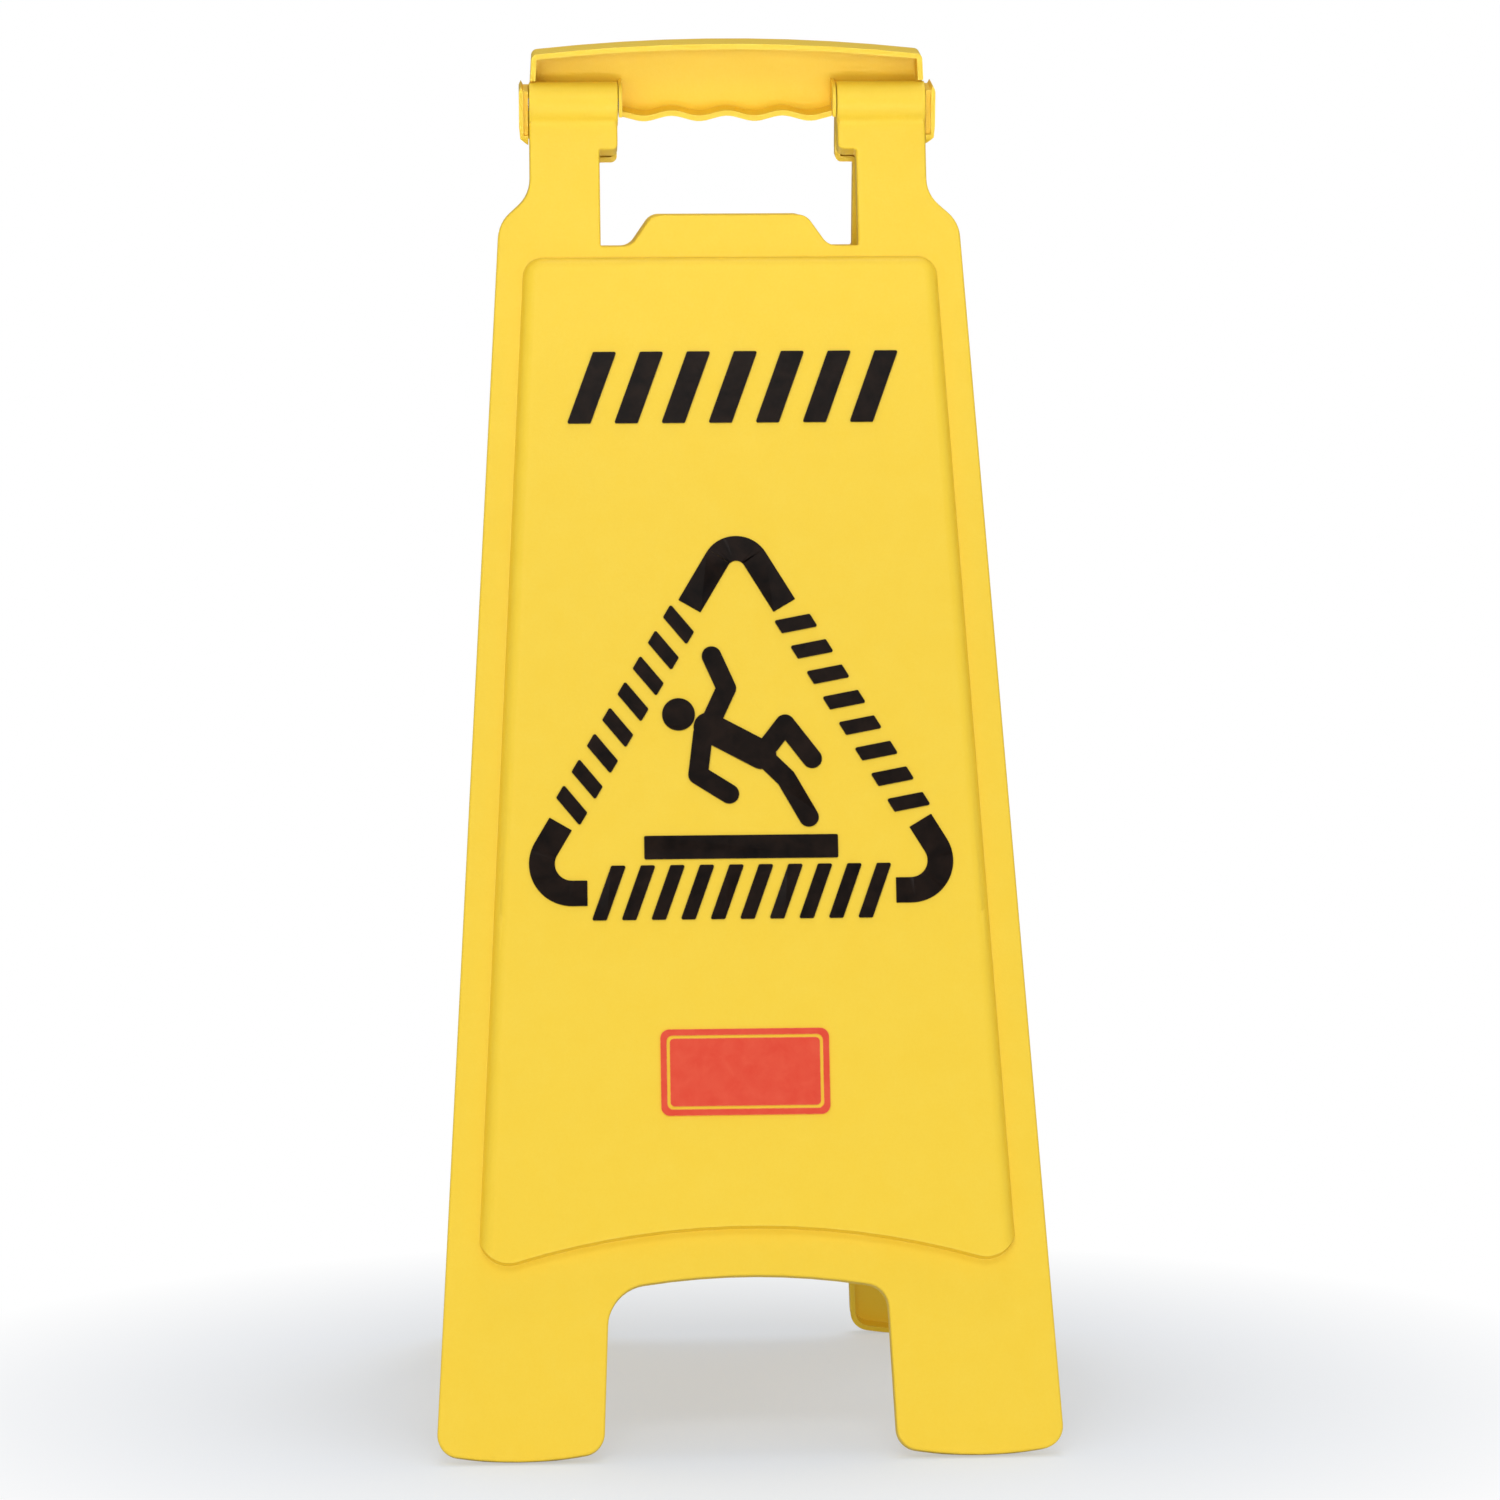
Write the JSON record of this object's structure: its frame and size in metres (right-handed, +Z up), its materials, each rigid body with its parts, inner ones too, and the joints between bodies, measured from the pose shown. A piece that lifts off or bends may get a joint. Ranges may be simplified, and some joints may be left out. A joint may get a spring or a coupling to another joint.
{
  "type": "wet floor sign",
  "caption": "Two-sided folding A-frame floor sign in moulded yellow plastic, with a carrying handle, hinge pins and stamped warning graphics.",
  "frame": {"origin": "centre of the base on the floor, sign open", "axes": "+Z up, +X along the hinge axis to the right of the front face, front face towards -Y"},
  "size_m": [0.2786, 0.3179, 0.6414],
  "materials": {
    "panel_plastic": "moulded, fine grain",
    "pin_steel": "drawn rod",
    "foil_black": "hot-stamped foil",
    "foil_red": "hot-stamped foil"
  },
  "bodies": {
    "rear": {"rear_panel": "panel_plastic", "hinge_pin_left": "pin_steel", "hinge_pin_right": "pin_steel", "rear_hazard_bars": "foil_black", "rear_triangle_corners": "foil_black", "rear_edge_bars_left": "foil_black", "rear_edge_bars_right": "foil_black", "rear_edge_bars_bottom": "foil_black", "rear_slip_figure": "foil_black", "rear_figure_head": "foil_black", "rear_floor_bar": "foil_black", "rear_badge": "foil_red"},
    "front": {"front_panel": "panel_plastic", "front_hazard_bars": "foil_black", "front_triangle_corners": "foil_black", "front_edge_bars_left": "foil_black", "front_edge_bars_right": "foil_black", "front_edge_bars_bottom": "foil_black", "front_slip_figure": "foil_black", "front_figure_head": "foil_black", "front_floor_bar": "foil_black", "front_badge": "foil_red"}
  },
  "joints": [
    {"name": "fold", "type": "hinge", "parent": "rear", "child": "front", "pos_m": [0, 0, 0.61021], "axis": [1, 0, 0], "range_deg": [0, 27.5]}
  ]
}
